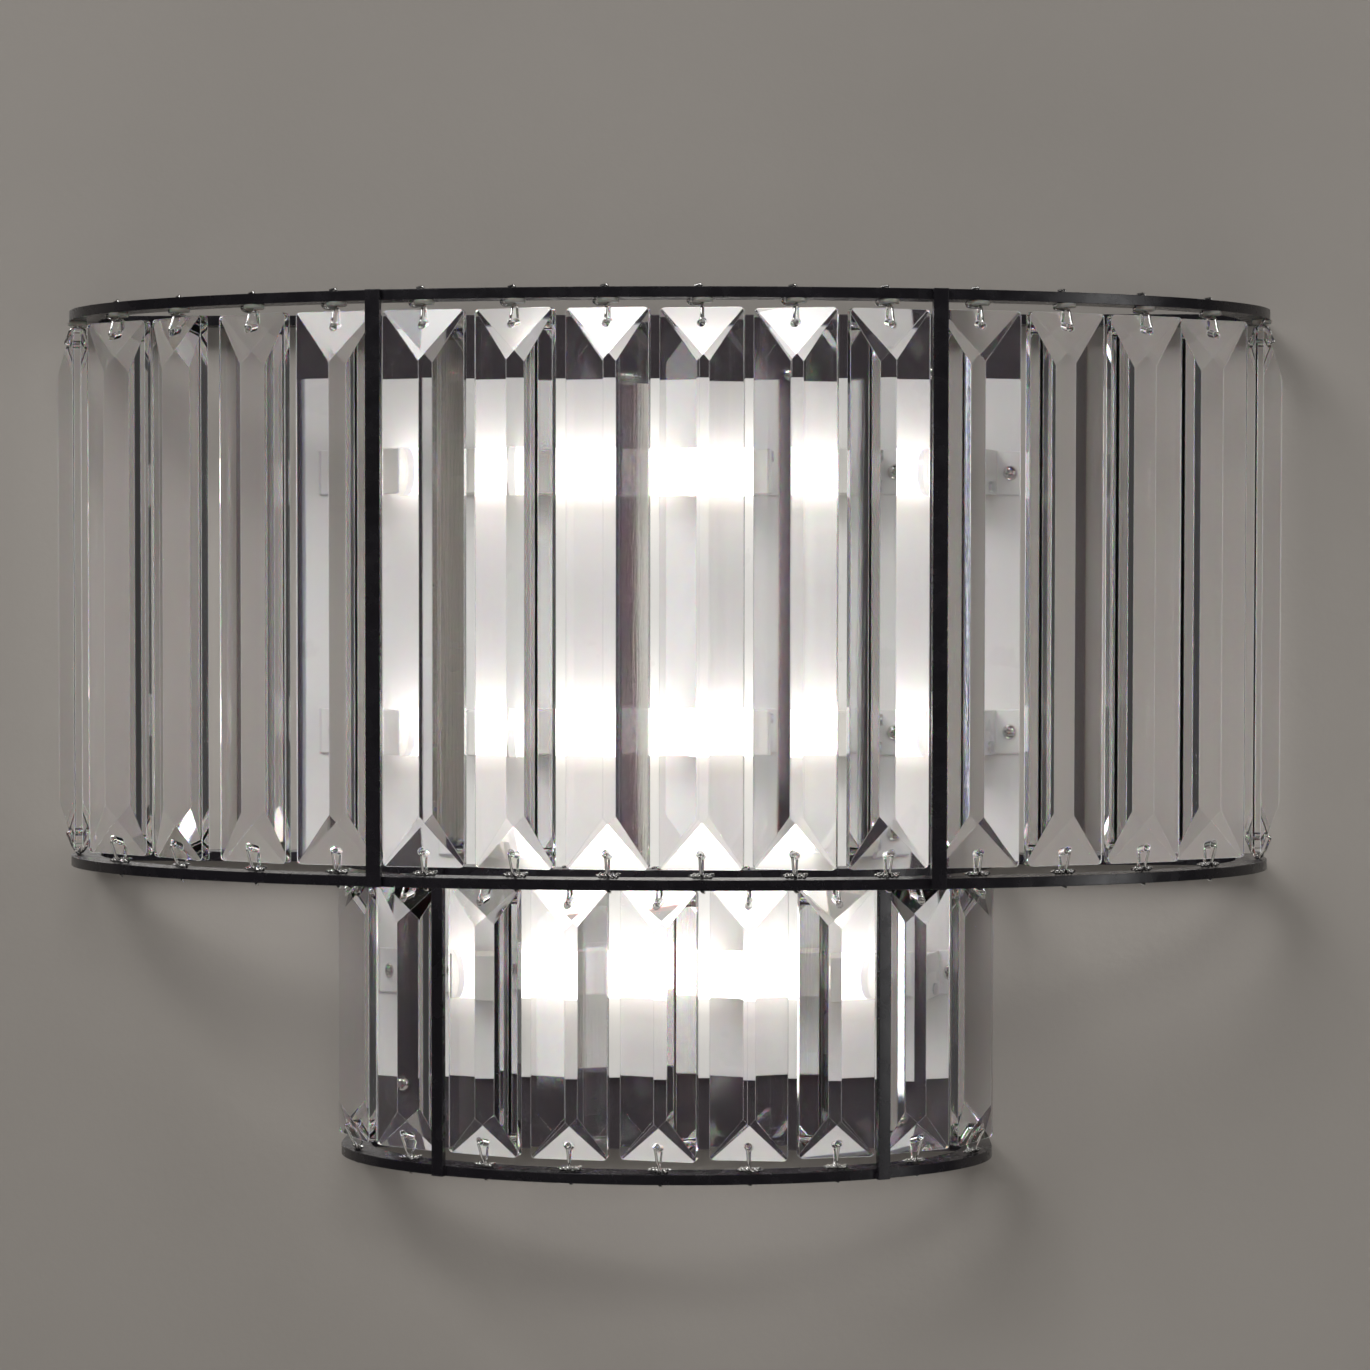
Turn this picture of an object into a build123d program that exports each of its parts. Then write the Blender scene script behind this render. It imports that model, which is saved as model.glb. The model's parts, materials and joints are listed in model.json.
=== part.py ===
from build123d import *
import math
import os

os.makedirs("parts", exist_ok=True)

# Driving sizes in mm. The wall is the plane y = 0, the room lies towards -y, and z = 0 is at mid height.
HALF_HEIGHT = 142.9
TIER_SPLIT_TOP = -41.1
RING_HEIGHT = 3.3
RING_WIDTH = 10.0
WALL_GAP = 2.0
WIDEST_Y = -18.35
REAR_BAR_FRONT = -WALL_GAP - RING_WIDTH
HALF_TURN = 180

# Clearances. RUNNING is left between a wire, pin or lamp and what it moves against.
# PAST is how far a cutter runs past the face it starts from.
RUNNING = 0.3
SNUG = 0.05
SCREW_CLEARANCE = 0.2
PAST = 1.0

# Glass prisms: six-sided section with a ridge on both faces, the ridges cut down to a thin edge at both
# ends, and the four corners rounded.
PRISM_RIDGE = 7.0
PRISM_EDGE = 1.4
PRISM_CORNER = 1.6
HOLE_FROM_END = 5.0
HOLE_RADIUS = 1.3
PRISM_INSET = 2.8

# Wire hooks and ties, and the spacers under the top rings.
WIRE_RADIUS = 0.45
WIRE_BEND = 0.8
WIRE_LIFT = 0.4
WIRE_TAIL = 2.2
WIRE_GUARD = 0.4
RING_HOLE_RADIUS = WIRE_RADIUS + RUNNING
HANGING_GAP = 3.0
SPACER_RADIUS = 3.25
SPACER_HEIGHT = 1.4
HOOK_HEAD_RADIUS = 1.1
HOOK_HEAD_RISE = 0.9

# Tubular lamps with a recessed contact at each end, 117.6 mm long over all.
LAMP_HALF_LENGTH = 58.8
LAMP_Y = -28.0
LAMP_TRAVEL = 3.5
TUBE_RADIUS = 8.0
TUBE_WALL = 1.0
PLUG_LENGTH = 4.0
COLLAR_RADIUS = 8.3
COLLAR_LENGTH = 2.5
NECK_RADIUS = 4.0
NECK_LENGTH = 6.3
TUBE_HALF_LENGTH = LAMP_HALF_LENGTH - NECK_LENGTH - COLLAR_LENGTH

# Ceramic holders and their contacts, from the lamp's ends outward.
HOLDER_HALF_WIDTH = 7.5
CUP_CLEARANCE = 0.4
CUP_RADIUS = NECK_RADIUS + CUP_CLEARANCE
CUP_DEPTH = 3.0
FIXED_MOUTH = LAMP_HALF_LENGTH - CUP_DEPTH
SPRUNG_MOUTH_GAP = 0.5
SPRUNG_MOUTH = TUBE_HALF_LENGTH + COLLAR_LENGTH + LAMP_TRAVEL + SPRUNG_MOUTH_GAP
CONTACT_RADIUS = 3.6
CONTACT_THICKNESS = 1.0
STEM_RADIUS = 1.2
STEM_LENGTH = 4.2
FIXED_STEM_END = LAMP_HALF_LENGTH + CONTACT_THICKNESS + STEM_LENGTH
FIXED_HOLDER_BACK = 2.0
FIXED_HOLDER_END = FIXED_STEM_END + FIXED_HOLDER_BACK
PIN_FLANGE = 1.5
PIN_TAIL = 6.2
PIN_END = LAMP_HALF_LENGTH + PIN_FLANGE + PIN_TAIL
SPRING_LENGTH = 7.0
SPRING_SEAT = LAMP_HALF_LENGTH + PIN_FLANGE + SPRING_LENGTH
SPRING_RADIUS = 2.4
SPRING_WIRE = 0.3
SPRING_TURNS = 4
SPRUNG_HOLDER_BACK = 3.7
SPRUNG_HOLDER_END = SPRING_SEAT + SPRUNG_HOLDER_BACK
HOLDER_BRACKET_SHEET = 1.2
HOLDER_BRACKET_FOOT = 11.0
RIVET_RADIUS = 1.0
RIVET_HEAD_RADIUS = 2.0
RIVET_HEAD_HEIGHT = 1.0
RIVET_OFFSET = 4.9
RIVET_DEPTH = 4.0

# White lamp panel, a shallow tray on the plate, just wide enough for the holder brackets' feet.
FOOT_MARGIN = 0.8
PANEL_BELOW_TOP = 21.9
PANEL_ABOVE_BOTTOM = 25.3
PANEL_HALF_WIDTH = SPRUNG_HOLDER_END + HOLDER_BRACKET_SHEET + HOLDER_BRACKET_FOOT + FOOT_MARGIN
PANEL_TOP = HALF_HEIGHT - PANEL_BELOW_TOP
PANEL_BOTTOM = PANEL_ABOVE_BOTTOM - HALF_HEIGHT
PANEL_FRONT = -17.0
PANEL_SHEET = 0.8
UPPER_LAMP_DROP = 32.0
MIDDLE_LAMP_LEVEL = 1.0
LOWER_LAMP_RISE = 36.6
LAMP_LEVELS = {
    "upper": PANEL_TOP - UPPER_LAMP_DROP,
    "middle": MIDDLE_LAMP_LEVEL,
    "lower": PANEL_BOTTOM + LOWER_LAMP_RISE,
}

# Back plate and wall bracket.
PLATE_SCREW_BESIDE = 6.0
PLATE_SCREW_ABOVE = 2.0
PLATE_SCREW_BELOW = 2.4
PLATE_MARGIN = 7.0
PLATE_SCREW_X = PANEL_HALF_WIDTH + PLATE_SCREW_BESIDE
PLATE_SCREW_LEVELS = (PANEL_TOP + PLATE_SCREW_ABOVE, PANEL_BOTTOM - PLATE_SCREW_BELOW)
PLATE_HALF_WIDTH = PLATE_SCREW_X + PLATE_MARGIN
PLATE_SHEET = 1.2
PLATE_BACK = REAR_BAR_FRONT
PLATE_FRONT = PLATE_BACK - PLATE_SHEET
FLANGE_BACK = -1.0
NOTCH_CLEARANCE = 0.8
BRACKET_SHEET = 1.6
STRIP_INWARD = 8.0
STRIP_OUTWARD = 5.0
BRACKET_STRIP = (PLATE_SCREW_X - STRIP_INWARD, PLATE_SCREW_X + STRIP_OUTWARD)
BRACKET_BAR_HALF_HEIGHT = 20.0
BRACKET_OVERHANG = 7.0
WIRING_HOLE_RADIUS = 10.0
WALL_SCREW_SPACING = 88.9
WALL_SCREW_HOLE_RADIUS = 2.3
STANDOFF_RADIUS = 4.0

# M3 screws with low round heads and a cross recess.
SCREW_RADIUS = 1.5
SCREW_HEAD_RADIUS = 2.6
SCREW_HEAD_HEIGHT = 1.9
PLATE_SCREW_SHORT = 1.0
RECESS_WIDTH = 0.7
RECESS_DEPTH = 0.9

# Wiring behind the panel.
LEAD_RADIUS = 1.0
LEAD_BEND = 2.5
LEAD_HOLE_RADIUS = 1.6
LEAD_Y = (PANEL_FRONT + PANEL_SHEET + PLATE_FRONT) / 2
FIXED_LEAD_X = 1.5 - FIXED_STEM_END
SPRUNG_LEAD_X = SPRING_SEAT - LEAD_RADIUS - 2 * SNUG
BLOCK_HALF_WIDTH = 14.0
BLOCK_DEPTH = 7.0
BLOCK_ENTRY_X = 6.0
BLOCK_ENTRY_STEP = 8.0
BLOCK_ENTRY_DEPTH = 4.0
EARTH_X = 32.0
EARTH_Z = -6.0
EARTH_SCREW_RADIUS = 2.0
EARTH_HEAD_RADIUS = 3.5
EARTH_HEAD_HEIGHT = 2.8
EYELET_RADIUS = 4.0
EYELET_SHEET = 1.0
EARTH_LEAD_Y = PLATE_BACK + LEAD_RADIUS + 0.1


class Drum:
    """One tier of the shade: its ring curve, its levels and its row of prisms."""

    def __init__(
        self, half_width, bulge, top, bottom, half_prism, bevel, tie_gap, pitch, end_shift, turns, post
    ):
        self.half_width = half_width
        self.bulge = bulge
        self.top = top
        self.bottom = bottom
        self.half_prism = half_prism
        self.bevel = bevel
        self.pitch = pitch
        self.end_shift = end_shift
        self.turns = turns
        self.post_arc, self.post_width = post
        self.prism_top = top - RING_HEIGHT - HANGING_GAP
        self.prism_bottom = bottom + RING_HEIGHT + tie_gap
        self.length = self.prism_top - self.prism_bottom


# Turns are how far each prism hangs twisted to its right, in degrees, from the left end of the row. The end
# shift moves the two end prisms of a row further back along the ring than the pitch, to its widest line.
UPPER_TURNS = (0, 9, -14, -8, 2, 1.5, -13, -7.5, -8, -17, 8, -2, 2, -3.3, -15, 0)
LOWER_TURNS = (0, 3, -4, 0, -12, -12, -5, -3, 0)
UPPER = Drum(
    half_width=203.0, bulge=95.9, top=HALF_HEIGHT, bottom=TIER_SPLIT_TOP - RING_HEIGHT, half_prism=13.2,
    bevel=16.3, tie_gap=3.1, pitch=29.386, end_shift=13.0, turns=UPPER_TURNS, post=(89.0, 4.8),
)
LOWER = Drum(
    half_width=PLATE_HALF_WIDTH + 4.0 + RING_WIDTH, bulge=60.8, top=TIER_SPLIT_TOP, bottom=-HALF_HEIGHT,
    half_prism=12.7, bevel=12.8, tie_gap=4.2, pitch=29.548, end_shift=0.0, turns=LOWER_TURNS,
    post=(74.4, 4.2),
)
POST_THICKNESS = 2.0


def export(name, shape):
    """Write one named piece, or one group of like pieces, as its own file."""
    export_step(shape, f"parts/{name}.step")


def box_between(x_range, y_range, z_range):
    """Box with its faces at the given limits."""
    low = (min(x_range), min(y_range), min(z_range))
    high = (max(x_range), max(y_range), max(z_range))
    size = [high[i] - low[i] for i in range(3)]
    return Pos(*low) * Box(*size, align=(Align.MIN, Align.MIN, Align.MIN))


def rod_x(radius, start, end, y, z):
    """Round bar along X between two x values."""
    rod = Cylinder(radius, abs(end - start), align=(Align.CENTER, Align.CENTER, Align.MIN))
    return Pos(min(start, end), y, z) * Rot(0, 90, 0) * rod


def rod_y(radius, start, end, x, z):
    """Round bar along Y between two y values."""
    rod = Cylinder(radius, abs(end - start), align=(Align.CENTER, Align.CENTER, Align.MAX))
    return Pos(x, min(start, end), z) * Rot(90, 0, 0) * rod


def rod_z(radius, start, end, x, y):
    """Round bar along Z between two z values."""
    rod = Cylinder(radius, abs(end - start), align=(Align.CENTER, Align.CENTER, Align.MIN))
    return Pos(x, y, min(start, end)) * rod


def wire_along(radius, points, bend):
    """Round wire swept along straight runs joined by bends."""
    path = FilletPolyline(*points, radius=bend)
    return sweep(Plane(path @ 0, z_dir=path % 0) * Circle(radius), path=path)


# Plan geometry of the rings.


def plan_outline(half_width, bulge, back):
    """Face bounded by a half ellipse in front of the widest line and straight sides back to y = back."""
    arc = EllipticalCenterArc((0, WIDEST_Y), half_width, bulge, start_angle=HALF_TURN, arc_size=HALF_TURN)
    sides = Polyline(
        (half_width, WIDEST_Y), (half_width, back), (-half_width, back), (-half_width, WIDEST_Y)
    )
    return make_face([*arc.edges(), *sides.edges()])


def plan_slab(half_width, bulge, back, bottom, top):
    """Plan outline pulled up between two levels."""
    outline = plan_outline(half_width, bulge, back)
    return Pos(0, 0, bottom) * extrude(outline, amount=top - bottom, dir=(0, 0, 1))


def arc_angle(drum, arc_length):
    """Ellipse angle, from the front centre, reached after a length walked along the ring's outer edge."""
    step = 0.0002
    angle = 0.0
    walked = 0.0
    while walked < abs(arc_length):
        walked += step * math.hypot(drum.half_width * math.cos(angle), drum.bulge * math.sin(angle))
        angle += step
    return math.copysign(angle, arc_length)


def seat(drum, arc_length, inset):
    """Plan point at an inset from the ring's outer edge, and the heading in degrees that faces outward."""
    angle = arc_angle(drum, arc_length)
    heading = math.atan2(math.sin(angle) / drum.half_width, math.cos(angle) / drum.bulge)
    x = drum.half_width * math.sin(angle) - inset * math.sin(heading)
    y = WIDEST_Y - drum.bulge * math.cos(angle) + inset * math.cos(heading)
    return x, y, math.degrees(heading)


def hanging_places(drum):
    """Location of every prism's hanging line, turned the way the prism hangs."""
    places = []
    middle = (len(drum.turns) - 1) / 2
    for index, turn in enumerate(drum.turns):
        arc_length = (index - middle) * drum.pitch
        if abs(index - middle) == middle:
            arc_length += math.copysign(drum.end_shift, arc_length)
        x, y, heading = seat(drum, arc_length, PRISM_INSET)
        places.append(Pos(x, y, 0) * Rot(0, 0, heading + turn))
    return places


# Rings and uprights.


def ring_holes(drum, bottom):
    """Holes through one ring for the hooks or ties of a drum."""
    hole = rod_z(RING_HOLE_RADIUS, bottom - PAST, bottom + RING_HEIGHT + PAST, 0, 0)
    return [place * hole for place in hanging_places(drum)]


def closed_ring(drum, bottom):
    """Flat-bar ring closed by a straight bar along the wall."""
    top = bottom + RING_HEIGHT
    outside = plan_slab(drum.half_width, drum.bulge, -WALL_GAP, bottom, top)
    inside = plan_slab(
        drum.half_width - RING_WIDTH, drum.bulge - RING_WIDTH, REAR_BAR_FRONT, bottom - PAST, top + PAST
    )
    return outside - inside - ring_holes(drum, bottom)


def open_ring(drum, bottom):
    """Flat-bar ring whose two ends stop on the rear bar of the ring around it."""
    top = bottom + RING_HEIGHT
    outside = plan_slab(drum.half_width, drum.bulge, REAR_BAR_FRONT, bottom, top)
    inside = plan_slab(
        drum.half_width - RING_WIDTH, drum.bulge - RING_WIDTH, REAR_BAR_FRONT + PAST,
        bottom - PAST, top + PAST,
    )
    return outside - inside - ring_holes(drum, bottom)


def posts(drum):
    """Two flat strips up the outside of a drum, shaped to its rings' outer faces."""
    shell = plan_slab(
        drum.half_width + POST_THICKNESS, drum.bulge + POST_THICKNESS, REAR_BAR_FRONT, drum.bottom, drum.top
    )
    shell -= plan_slab(drum.half_width, drum.bulge, 0, drum.bottom - PAST, drum.top + PAST)
    strips = []
    for side in (-1, 1):
        x, y, heading = seat(drum, side * drum.post_arc, 0)
        cutter = Pos(x, y, drum.bottom) * Rot(0, 0, heading) * Box(
            drum.post_width, 6 * POST_THICKNESS, drum.top - drum.bottom,
            align=(Align.CENTER, Align.CENTER, Align.MIN),
        )
        strips += (shell & cutter).solids()
    return Compound(children=strips)


# Prisms and what hangs them.


def prism(drum):
    """Glass prism on its hanging line: bevelled to thin ends, round-cornered, with a hole near each end."""
    half = drum.half_prism
    low = drum.prism_bottom
    high = drum.prism_top
    section = make_face(
        Polyline(
            (-half, -PRISM_EDGE), (0, -PRISM_RIDGE), (half, -PRISM_EDGE),
            (half, PRISM_EDGE), (0, PRISM_RIDGE), (-half, PRISM_EDGE), close=True,
        ).edges()
    )
    bar = Pos(0, 0, low) * extrude(section, amount=drum.length, dir=(0, 0, 1))
    profile = make_face(
        Polyline(
            (-PRISM_EDGE, low), (PRISM_EDGE, low), (PRISM_RIDGE, low + drum.bevel),
            (PRISM_RIDGE, high - drum.bevel), (PRISM_EDGE, high), (-PRISM_EDGE, high),
            (-PRISM_RIDGE, high - drum.bevel), (-PRISM_RIDGE, low + drum.bevel), close=True,
        ).edges()
    )
    ends = extrude(Plane.YZ * profile, amount=half + PAST, both=True)
    upright = Pos(0, 0, (low + high) / 2) * Rot(90, 0, 0)
    front = upright * RectangleRounded(2 * half, drum.length, PRISM_CORNER)
    glass = bar & ends & extrude(front, amount=PRISM_RIDGE + PAST, both=True)
    for level in (high - HOLE_FROM_END, low + HOLE_FROM_END):
        glass -= rod_y(HOLE_RADIUS, -PRISM_RIDGE - PAST, PRISM_RIDGE + PAST, 0, level)
    return glass


def wire_eye(drum, end_level, away):
    """Points of the wire from the hanging line out over the prism's end, through its hole and back."""
    hole_level = end_level - away * HOLE_FROM_END
    at_hole = PRISM_EDGE + (PRISM_RIDGE - PRISM_EDGE) * HOLE_FROM_END / drum.bevel
    over_end = end_level + away * (WIRE_GUARD + WIRE_RADIUS)
    reach_end = PRISM_EDGE + WIRE_RADIUS + WIRE_GUARD
    reach_hole = at_hole + WIRE_RADIUS + WIRE_GUARD
    through = hole_level + away * WIRE_LIFT
    return [
        (0, 0, over_end),
        (0, -reach_end, over_end),
        (0, -reach_hole, through),
        (0, reach_hole, through),
        (0, reach_hole, through + away * WIRE_TAIL),
    ]


def top_hook(drum):
    """Wire hook: a head on the ring, a stem through ring and spacer, and an eye through the prism."""
    head_level = drum.top + HOOK_HEAD_RISE
    stem = [(0, 0, head_level)] + wire_eye(drum, drum.prism_top, 1)
    return wire_along(WIRE_RADIUS, stem, WIRE_BEND) + Pos(0, 0, head_level) * Sphere(HOOK_HEAD_RADIUS)


def bottom_tie(drum):
    """Wire tie: an eye through the prism's lower hole, twisted above the ring and cut off below it."""
    ring_top = drum.bottom + RING_HEIGHT
    stem = [(0, 0, drum.bottom - WIRE_TAIL)] + wire_eye(drum, drum.prism_bottom, -1)
    half_twist = 2.8
    spread = 1.6 * WIRE_RADIUS
    twist = FilletPolyline(
        (-half_twist, -spread), (half_twist, -spread), (half_twist, spread), (-half_twist, spread),
        radius=0.9 * spread, close=True,
    )
    loop = sweep(Plane(twist @ 0, z_dir=twist % 0) * Circle(WIRE_RADIUS), path=twist)
    return wire_along(WIRE_RADIUS, stem, WIRE_BEND) + Pos(0, 0, ring_top + WIRE_RADIUS + SNUG) * loop


def spacer(drum):
    """Soft washer on a hook's stem, against the underside of the ring."""
    under = drum.top - RING_HEIGHT
    return rod_z(SPACER_RADIUS, under - SPACER_HEIGHT, under, 0, 0) - rod_z(
        RING_HOLE_RADIUS, under - SPACER_HEIGHT - PAST, under + PAST, 0, 0
    )


def hung_group(make_piece):
    """The same small piece at every prism of both drums."""
    pieces = []
    for drum in (UPPER, LOWER):
        piece = make_piece(drum)
        pieces += [place * piece for place in hanging_places(drum)]
    return Compound(children=pieces)


# Wall side: bracket, plate, panel and screws.


def plate_screw_places():
    """Plan of the four screws that hold the plate to the bracket, as (x, z)."""
    return [(side * PLATE_SCREW_X, level) for side in (-1, 1) for level in PLATE_SCREW_LEVELS]


def bracket_screw_places():
    """Plan of the six screws through the holder brackets' feet, as (x, z)."""
    half_foot = HOLDER_BRACKET_FOOT / 2 + HOLDER_BRACKET_SHEET
    columns = (-FIXED_HOLDER_END - half_foot, SPRUNG_HOLDER_END + half_foot)
    return [(x, level) for x in columns for level in LAMP_LEVELS.values()]


def block_entries():
    """Plan of the six lead entries on the terminal block, with the lead column and lamp level of each."""
    entries = []
    for side, column in ((-1, FIXED_LEAD_X), (1, SPRUNG_LEAD_X)):
        for row, level in enumerate(LAMP_LEVELS.values()):
            entries.append((side * BLOCK_ENTRY_X, (1 - row) * BLOCK_ENTRY_STEP, column, level))
    return entries


def wall_bracket():
    """Steel H-shaped bracket against the wall, with four threaded standoffs for the plate."""
    top = PLATE_SCREW_LEVELS[0] + BRACKET_OVERHANG
    bottom = PLATE_SCREW_LEVELS[1] - BRACKET_OVERHANG
    sheet = (-BRACKET_SHEET, 0)
    bar = box_between(
        (-BRACKET_STRIP[0], BRACKET_STRIP[0]), sheet, (-BRACKET_BAR_HALF_HEIGHT, BRACKET_BAR_HALF_HEIGHT)
    )
    bracket = bar
    for side in (-1, 1):
        bracket += box_between((side * BRACKET_STRIP[0], side * BRACKET_STRIP[1]), sheet, (bottom, top))
    for x, z in plate_screw_places():
        bracket += rod_y(STANDOFF_RADIUS, PLATE_BACK, -BRACKET_SHEET, x, z)
        bracket -= rod_y(SCREW_RADIUS + SNUG, PLATE_BACK - PAST, PAST, x, z)
    for side in (-1, 1):
        hole_x = side * WALL_SCREW_SPACING / 2
        bracket -= rod_y(WALL_SCREW_HOLE_RADIUS, -BRACKET_SHEET - PAST, PAST, hole_x, 0)
    return bracket - rod_y(WIRING_HOLE_RADIUS, -BRACKET_SHEET - PAST, PAST, 0, 0)


def back_plate():
    """Dark sheet plate over the rings' rear bars, its side flanges notched where the bars pass behind."""
    full = (-HALF_HEIGHT, HALF_HEIGHT)
    plate = box_between((-PLATE_HALF_WIDTH, PLATE_HALF_WIDTH), (PLATE_FRONT, PLATE_BACK), full)
    flange_end = HALF_HEIGHT - RING_HEIGHT - NOTCH_CLEARANCE
    notch = (UPPER.bottom - NOTCH_CLEARANCE, UPPER.bottom + RING_HEIGHT + NOTCH_CLEARANCE)
    for side in (-1, 1):
        across = (side * PLATE_HALF_WIDTH, side * (PLATE_HALF_WIDTH - PLATE_SHEET))
        plate += box_between(across, (PLATE_BACK, FLANGE_BACK), (-flange_end, flange_end))
        through = (across[0] + side * PAST, across[1] - side * PAST)
        plate -= box_between(through, (PLATE_BACK, FLANGE_BACK + PAST), notch)
    for x, z in plate_screw_places():
        plate -= rod_y(SCREW_RADIUS + SCREW_CLEARANCE, PLATE_FRONT - PAST, PLATE_BACK + PAST, x, z)
    for x, z in bracket_screw_places():
        plate -= rod_y(SCREW_RADIUS + SNUG, PLATE_FRONT - PAST, PLATE_BACK + PAST, x, z)
    for x, z, _, _ in block_entries():
        plate -= rod_y(LEAD_HOLE_RADIUS, PLATE_FRONT - PAST, PLATE_BACK + PAST, x, z)
    return plate - rod_y(EARTH_SCREW_RADIUS + SNUG, PLATE_FRONT - PAST, PLATE_BACK + PAST, EARTH_X, EARTH_Z)


def lamp_panel():
    """White tray in front of the plate, its edges turned back onto it."""
    outer = box_between(
        (-PANEL_HALF_WIDTH, PANEL_HALF_WIDTH), (PANEL_FRONT, PLATE_FRONT), (PANEL_BOTTOM, PANEL_TOP)
    )
    inner_half = PANEL_HALF_WIDTH - PANEL_SHEET
    inner = box_between(
        (-inner_half, inner_half),
        (PANEL_FRONT + PANEL_SHEET, PLATE_FRONT + PAST),
        (PANEL_BOTTOM + PANEL_SHEET, PANEL_TOP - PANEL_SHEET),
    )
    panel = outer - inner
    for x, z in bracket_screw_places():
        panel -= rod_y(SCREW_RADIUS + SCREW_CLEARANCE, PANEL_FRONT - PAST, PLATE_FRONT, x, z)
    for _, _, column, level in block_entries():
        panel -= rod_y(LEAD_HOLE_RADIUS, PANEL_FRONT - PAST, PLATE_FRONT, column, level)
    return panel


def screw(x, z, seat_y, tip_y):
    """Round-headed screw driven from the room side, its head seated at seat_y."""
    body = rod_y(SCREW_RADIUS, seat_y, tip_y, x, z)
    body += rod_y(SCREW_HEAD_RADIUS, seat_y - SCREW_HEAD_HEIGHT, seat_y, x, z)
    top = seat_y - SCREW_HEAD_HEIGHT
    for wide, tall in ((1.6 * SCREW_RADIUS, RECESS_WIDTH), (RECESS_WIDTH, 1.6 * SCREW_RADIUS)):
        body -= box_between(
            (x - wide / 2, x + wide / 2), (top - PAST, top + RECESS_DEPTH), (z - tall / 2, z + tall / 2)
        )
    return body


def plate_screws():
    """Four screws through the plate into the bracket's standoffs."""
    tip = -BRACKET_SHEET - PLATE_SCREW_SHORT
    return Compound(children=[screw(x, z, PLATE_FRONT, tip) for x, z in plate_screw_places()])


def bracket_screws():
    """Six screws through a holder bracket's foot and the panel into the plate."""
    foot_front = PANEL_FRONT - HOLDER_BRACKET_SHEET
    return Compound(children=[screw(x, z, foot_front, PLATE_BACK + 1.5) for x, z in bracket_screw_places()])


# Lamps: tube, end caps, sprung pin and spring.


def lamp_tube(level):
    """Frosted glass tube of one lamp."""
    outside = rod_x(TUBE_RADIUS, -TUBE_HALF_LENGTH, TUBE_HALF_LENGTH, LAMP_Y, level)
    bore_end = TUBE_HALF_LENGTH + PAST
    return outside - rod_x(TUBE_RADIUS - TUBE_WALL, -bore_end, bore_end, LAMP_Y, level)


def lamp_caps(level):
    """Two end caps, each with a plug inside the tube, a collar over its end and a narrow contact neck."""
    caps = []
    for side in (-1, 1):
        collar_end = TUBE_HALF_LENGTH + COLLAR_LENGTH
        plug_radius = TUBE_RADIUS - TUBE_WALL - SNUG
        cap = rod_x(
            plug_radius, side * (TUBE_HALF_LENGTH - PLUG_LENGTH), side * TUBE_HALF_LENGTH, LAMP_Y, level
        )
        cap += rod_x(COLLAR_RADIUS, side * TUBE_HALF_LENGTH, side * collar_end, LAMP_Y, level)
        cap += rod_x(NECK_RADIUS, side * collar_end, side * LAMP_HALF_LENGTH, LAMP_Y, level)
        caps.append(cap)
    return Compound(children=caps)


def lamp_pin(level):
    """Sprung contact pin that presses on the lamp's right-hand end and moves with it."""
    flange = rod_x(CONTACT_RADIUS, LAMP_HALF_LENGTH, LAMP_HALF_LENGTH + PIN_FLANGE, LAMP_Y, level)
    return flange + rod_x(STEM_RADIUS, LAMP_HALF_LENGTH + PIN_FLANGE, PIN_END, LAMP_Y, level)


def lamp_spring(level):
    """Compression spring between the pin's flange and the end of the holder's bore."""
    start = LAMP_HALF_LENGTH + PIN_FLANGE + SPRING_WIRE
    length = SPRING_SEAT - SPRING_WIRE - start
    path = Helix(pitch=length / SPRING_TURNS, height=length, radius=SPRING_RADIUS)
    coil = sweep(Plane(path @ 0, z_dir=path % 0) * Circle(SPRING_WIRE), path=path, is_frenet=True)
    return Pos(start, LAMP_Y, level) * Rot(0, 90, 0) * coil


# Holders, their brackets, rivets and contacts.


def rivet_places(level):
    """Two rivets of one holder, at opposite corners of its outer end, as (y, z)."""
    return [(LAMP_Y + side * RIVET_OFFSET, level - side * RIVET_OFFSET) for side in (-1, 1)]


def holder_block(x_range, level):
    """Square ceramic body of a holder."""
    depth = (LAMP_Y - HOLDER_HALF_WIDTH, LAMP_Y + HOLDER_HALF_WIDTH)
    return box_between(x_range, depth, (level - HOLDER_HALF_WIDTH, level + HOLDER_HALF_WIDTH))


def fixed_holder(level):
    """Left-hand holder: a shallow cup with a fixed contact at its bottom and a lead hole from behind."""
    cup_end = -LAMP_HALF_LENGTH - CONTACT_THICKNESS
    block = holder_block((-FIXED_HOLDER_END, -FIXED_MOUTH), level)
    block -= rod_x(CUP_RADIUS, cup_end, PAST - FIXED_MOUTH, LAMP_Y, level)
    block -= rod_x(STEM_RADIUS + SNUG, -FIXED_STEM_END, cup_end, LAMP_Y, level)
    block -= rod_y(LEAD_RADIUS + SNUG, LAMP_Y, LAMP_Y + HOLDER_HALF_WIDTH + PAST, FIXED_LEAD_X, level)
    for y, z in rivet_places(level):
        block -= rod_x(RIVET_RADIUS + SNUG, -FIXED_HOLDER_END - PAST, -FIXED_HOLDER_END + RIVET_DEPTH, y, z)
    return block


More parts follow.
